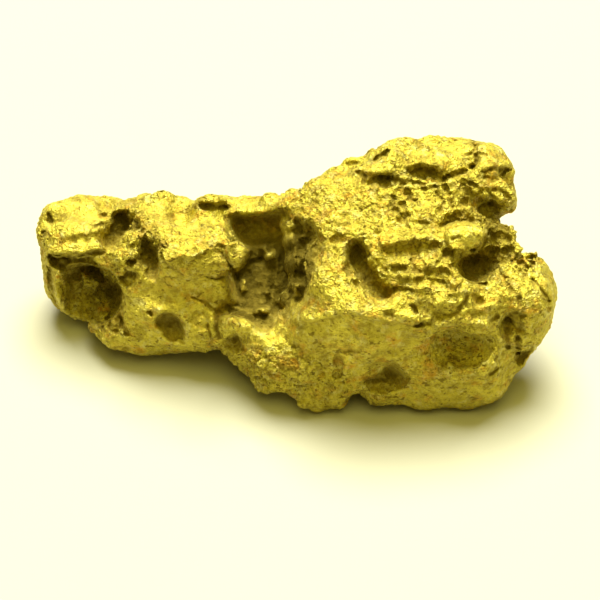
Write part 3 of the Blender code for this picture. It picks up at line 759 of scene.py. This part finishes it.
shut = [shut_in(vert.co, vert.normal) for vert in body.data.vertices]
around = [[0.0, 0] for vert in body.data.vertices]
points = [vert.co.copy() for vert in body.data.vertices]
normals = [vert.normal.copy() for vert in body.data.vertices]
for edge in body.data.edges:
    one, two = edge.vertices
    run = points[two] - points[one]
    length = max(run.length, 1e-6)
    around[one][0] -= run.dot(normals[one]) / length
    around[two][0] += run.dot(normals[two]) / length
    around[one][1] += 1
    around[two][1] += 1
bends = [total / max(count, 1) for total, count in around]
hollow = np.zeros(len(points))
for sight in SIGHTS:
    which, places, wander, _ = view_of(body, sight)
    # A place counts as hollow from 0.09 mm deep, and fully from 0.39 mm, or from 0.2 mm in
    # a crease.
    in_hollows = dug(places, wander, sight, CRISP) / 0.3 - 0.3
    in_creases = creased(places, wander, sight) / 0.2
    hollow[which] = np.maximum(hollow[which], eased(np.maximum(in_hollows, in_creases)))
    if sight == FRONT:
        ragged = roughness_of(points, (which, places))
        # The stains, painted shade and painted light are added on the front.
        for centre, half, added in STAINS_SHADE_AND_LIGHT:
            reach = (((places - centre) / half) ** 2).sum(axis=1)
            hollow[which] += added * np.clip(1.4 - 1.4 * reach, 0.0, 1.0)
for name, values in (
    ("shut_in", shut),
    ("stands_out", bends),
    ("ragged", ragged),
    ("hollow", hollow),
):
    layer = body.data.attributes.new(name, "FLOAT", "POINT")
    layer.data.foreach_set("value", values)

body.data.transform(Matrix.Scale(MM, 4))
body.name = "nugget_gold"
body.data.shade_smooth()


def linear(code):
    """An sRGB hex colour as linear red, green, blue and alpha."""
    parts = [int(code[i : i + 2], 16) / 255 for i in (1, 3, 5)]
    return [p / 12.92 if p <= 0.04045 else ((p + 0.055) / 1.055) ** 2.4 for p in parts] + [1.0]


def add_node(tree, kind, settings, sockets):
    """Adds a node with its settings, its sockets filled with values or links."""
    made = tree.nodes.new(kind)
    for name, value in settings.items():
        setattr(made, name, value)
    for name, value in sockets.items():
        if isinstance(value, bpy.types.NodeSocket):
            tree.links.new(value, made.inputs[name])
        else:
            made.inputs[name].default_value = value
    return made


# Native gold, worn by gravel: a soft satin shine on the high places, duller and browner in
# the hollows, which hold fine iron-stained clay. The hollows, creases and shut-in places are
# also painted darker, as painted shade. The eye sees it as grain and dark pores.
gold = bpy.data.materials.new("native_gold")
gold.use_nodes = True
tree = gold.node_tree
surface = tree.nodes["Principled BSDF"]
where = add_node(tree, "ShaderNodeTexCoord", {}, {}).outputs["Object"]
drawn_out = add_node(tree, "ShaderNodeMapping", {}, {"Vector": where, "Scale": (0.7, 1.0, 1.0)})
lengthwise = drawn_out.outputs["Vector"]
value_of = {}
for name in ("shut_in", "stands_out", "ragged", "hollow"):
    made = add_node(tree, "ShaderNodeAttribute", {"attribute_name": name}, {})
    value_of[name] = made.outputs["Fac"]

# Clouds of noise: the size of their patches in mm, and how much finer detail they carry.
# The finest real scratches are a few hundredths of a millimetre wide, too fine to show, so
# flecks and specks are drawn at 0.11 to 0.15 mm.
for name, space, size, detail, strength in (
    ("tone", where, 2.4, 3.0, 0.55),
    ("stain", lengthwise, 0.6, 4.0, 0.65),
    ("rubbed", where, 0.42, 4.0, 0.65),
    ("blotch", where, 1.3, 4.0, 0.6),
    ("mottle", where, 0.34, 5.0, 0.7),
    ("pore", where, 0.17, 2.0, 0.6),
    ("fleck", where, 0.11, 2.0, 0.6),
    ("speck", where, 0.15, 2.0, 0.6),
    ("dash", lengthwise, 0.22, 2.0, 0.6),
    ("wear", where, 0.5, 3.0, 0.55),
):
    values = {"Vector": space, "Scale": 1.0 / (size * MM), "Detail": detail, "Roughness": strength}
    value_of[name] = add_node(tree, "ShaderNodeTexNoise", {}, values).outputs["Fac"]

# The same values stretched to the range in which each is used.
for name, source, low, high, to_low, to_high in (
    # shaded and creased are painted shade, for shut-in places and for creases.
    ("shaded", "shut_in", 0.12, 0.75, 0.0, 1.0),
    ("creased", "stands_out", -0.04, -0.26, 0.0, 1.0),
    ("polished", "stands_out", 0.02, 0.18, 0.0, 1.0),
    ("broken", "ragged", 0.1, 0.75, 0.35, 1.0),
    ("open_pore", "pore", 0.39, 0.31, 0.0, 1.0),
    ("dirty", "blotch", 0.3, 0.7, -0.2, 0.22),
    ("pale", "tone", 0.35, 0.65, 0.0, 1.0),
    ("rusty", "stain", 0.52, 0.68, 0.0, 0.75),
    ("bleached", "rubbed", 0.52, 0.68, 0.0, 0.7),
    ("mottled", "mottle", 0.46, 0.64, 0.0, 0.8),
    ("dashed", "dash", 0.4, 0.34, 0.0, 0.75),
    # The darkest painted shade, with some clay, where the hollow values run highest, as in the
    # neck's valley.
    ("deep_shade_and_clay", "hollow", 0.9, 1.6, 0.0, 0.8),
    ("specked", "speck", 0.42, 0.34, 0.0, 0.85),
    ("satin", "wear", 0.3, 0.7, 0.58, 0.7),
):
    values = {"From Min": low, "From Max": high, "To Min": to_low, "To Max": to_high}
    values["Value"] = value_of[source]
    value_of[name] = add_node(tree, "ShaderNodeMapRange", {}, values).outputs["Result"]

pores = add_node(tree, "ShaderNodeMath", {"operation": "MULTIPLY"},
                 {0: value_of["open_pore"], 1: value_of["broken"]}).outputs["Value"]
specks = add_node(tree, "ShaderNodeMath", {"operation": "MULTIPLY"},
                  {0: value_of["specked"], 1: value_of["broken"]}).outputs["Value"]
# The grime darkens the colour with the clay blotches and the pores, and, as painted shade, with how
# shut in a point is, how deep it lies in a hollow and how sharply it bends in.
grime_and_shade = value_of["dirty"]
for source, share in (
    (value_of["shaded"], 0.3),
    (value_of["hollow"], 0.55),
    (value_of["creased"], 0.35),
    (pores, 0.5),
):
    grime_and_shade = add_node(tree, "ShaderNodeMath", {"operation": "MULTIPLY_ADD"},
                     {0: source, 1: share, 2: grime_and_shade}).outputs["Value"]
grime_and_shade = add_node(tree, "ShaderNodeMath", {"operation": "SUBTRACT", "use_clamp": True},
                 {0: grime_and_shade, 1: 0.05}).outputs["Value"]

# Sockets 0, 6 and 7 of a colour Mix node are its amount and its two colours.
colour = linear("#D6C94E")
for amount, tint in (
    (value_of["pale"], "#C6B845"),
    (value_of["rusty"], "#C08A28"),
    (value_of["bleached"], "#D3CC80"),
    (value_of["mottled"], "#93822E"),
    (value_of["dashed"], "#6E5A1C"),
    (specks, "#6E5E1E"),
    # Clay in the hollows, and painted shade there, in the creases and in shut-in places.
    (grime_and_shade, "#A49238"),
    # Painted deep shade, with some clay, in the neck's valley and the deepest hollows.
    (value_of["deep_shade_and_clay"], "#5E5008"),
):
    colour = add_node(tree, "ShaderNodeMix", {"data_type": "RGBA"},
                      {0: amount, 6: colour, 7: linear(tint)}).outputs[2]
metal = add_node(tree, "ShaderNodeMapRange", {}, {"Value": grime_and_shade, "To Min": 0.95, "To Max": 0.8})
dulled = add_node(tree, "ShaderNodeMath", {"operation": "MULTIPLY_ADD"},
                  {0: grime_and_shade, 1: 0.25, 2: value_of["satin"]}).outputs["Value"]
dulled = add_node(tree, "ShaderNodeMath", {"operation": "MULTIPLY_ADD"},
                  {0: value_of["polished"], 1: -0.14, 2: dulled}).outputs["Value"]
grain = add_node(tree, "ShaderNodeMath", {"operation": "MULTIPLY_ADD"},
                 {0: value_of["mottle"], 1: 0.7, 2: value_of["fleck"]}).outputs["Value"]
grain = add_node(tree, "ShaderNodeMath", {"operation": "MULTIPLY"},
                 {0: grain, 1: value_of["broken"]}).outputs["Value"]
height = add_node(tree, "ShaderNodeMath", {"operation": "MULTIPLY_ADD"},
                  {0: pores, 1: -0.8, 2: grain}).outputs["Value"]
bump = add_node(tree, "ShaderNodeBump", {},
                {"Height": height, "Strength": 1.0, "Distance": 0.14 * MM})
tree.links.new(colour, surface.inputs["Base Color"])
tree.links.new(metal.outputs["Result"], surface.inputs["Metallic"])
tree.links.new(dulled, surface.inputs["Roughness"])
tree.links.new(bump.outputs["Normal"], surface.inputs["Normal"])
body.data.materials.clear()
body.data.materials.append(gold)
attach(body, "root")
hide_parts("nugget")

# ---------------------------------------------------------------- The floor
# A sheet of pale cream card, far larger than the nugget.

ground = bmesh.new()
bmesh.ops.create_grid(ground, x_segments=1, y_segments=1, size=1.0)
floor = piece_of("floor", ground)

# Uncoated card: matt, so that it holds a soft shadow and shows no reflection.
card = bpy.data.materials.new("cream_card")
card.use_nodes = True
paper = card.node_tree.nodes["Principled BSDF"]
paper.inputs["Base Color"].default_value = linear("#B2B09A")
paper.inputs["Roughness"].default_value = 0.9
floor.data.materials.append(card)

# ---------------------------------------------------------------- The light
# A broad lamp above and behind, a wider and yellower one high up in front, and a soft warm
# fill all round.


def add_lamp(name, place, size, power, colour):
    """A round soft lamp at this place, aimed at the nugget."""
    lamp = bpy.data.lights.new(name, "AREA")
    lamp.shape = "DISK"
    lamp.size = size
    lamp.energy = power
    lamp.color = linear(colour)[:3]
    made = bpy.data.objects.new(name, lamp)
    made.location = place
    made.rotation_mode = "QUATERNION"
    made.rotation_quaternion = (MIDDLE * MM - Vector(place)).to_track_quat("-Z", "Y")
    bpy.context.scene.collection.objects.link(made)


add_lamp("key", (0.0, 0.2, 0.5), 0.4, 8.6, "#FFFFF8")
add_lamp("tent_top", (0.05, -0.25, 0.85), 0.7, 3.8, "#FFF584")
sky = bpy.data.worlds.new("fill")
sky.use_nodes = True
sky.node_tree.nodes["Background"].inputs["Color"].default_value = linear("#FFF08C")
sky.node_tree.nodes["Background"].inputs["Strength"].default_value = 0.23
bpy.context.scene.world = sky
bpy.context.scene.view_settings.view_transform = "Standard"

# ---------------------------------------------------------------- The camera
# It looks from 45 degrees above through a long lens, and its frame is the whole front view:
# 600 steps of 0.042 mm across at the nugget.

FRAME_WIDTH = 2 * HALF_VIEW * STEP
lens = bpy.data.cameras.new("camera")
camera = bpy.data.objects.new("camera", lens)
to_eye = sight_axes(FRONT)[2]
camera.location = (MIDDLE + to_eye * EYE_DISTANCE) * MM
camera.rotation_mode = "QUATERNION"
camera.rotation_quaternion = (-to_eye).to_track_quat("-Z", "Y")
lens.lens = lens.sensor_width * EYE_DISTANCE / FRAME_WIDTH
lens.clip_start = 0.01
bpy.context.scene.collection.objects.link(camera)
bpy.context.scene.camera = camera
